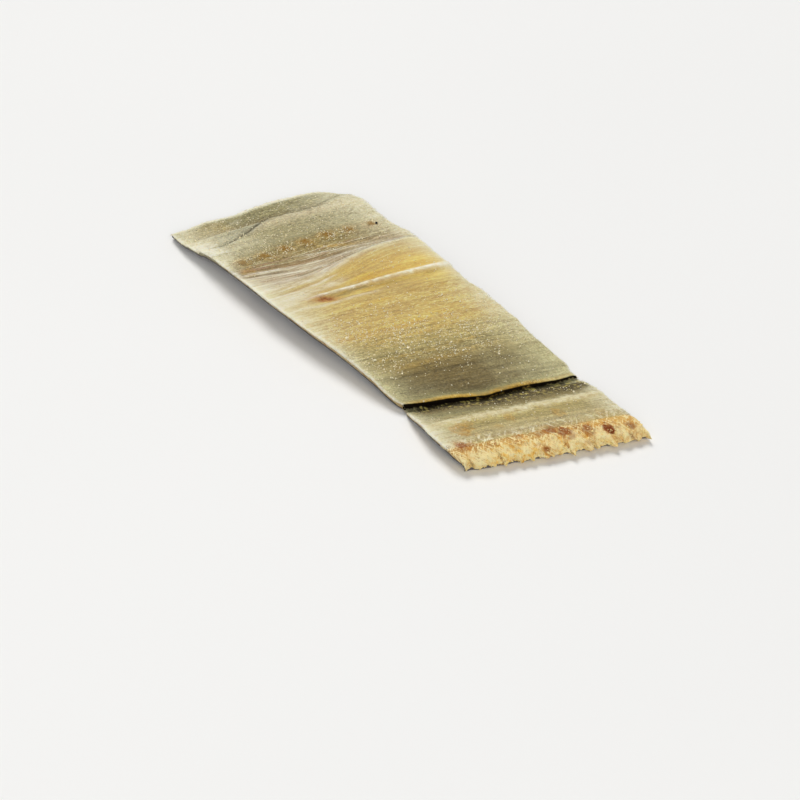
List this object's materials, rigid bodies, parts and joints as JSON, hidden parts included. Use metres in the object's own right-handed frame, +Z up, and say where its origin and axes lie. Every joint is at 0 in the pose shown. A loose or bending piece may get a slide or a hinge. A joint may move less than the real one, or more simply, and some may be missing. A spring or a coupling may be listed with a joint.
{
  "type": "piece of dried salted fish",
  "caption": "Slanting strip of dried, salted, split fish, flesh side up: gently arched, with a thin belly margin, a slit down to the skin and a crumbly row of halved vertebrae",
  "frame": {"origin": "middle of the outline seen from above, on the surface the piece lies on", "axes": "+X along the strip from the thin belly margin to the row of bones, +Y across it from the near cut edge to the far one, +Z up, out of the flesh side"},
  "size_m": [0.1784, 0.0638, 0.01],
  "materials": {
    "dried_flesh": "dry, waxy, half translucent fish flesh, golden to olive",
    "fish_skin": "finely wrinkled silver grey to mauve skin, satin",
    "salt": "small dull white salt grains"
  },
  "bodies": {
    "root": {"dried_fish_piece": "dried_flesh"}
  },
  "joints": []
}
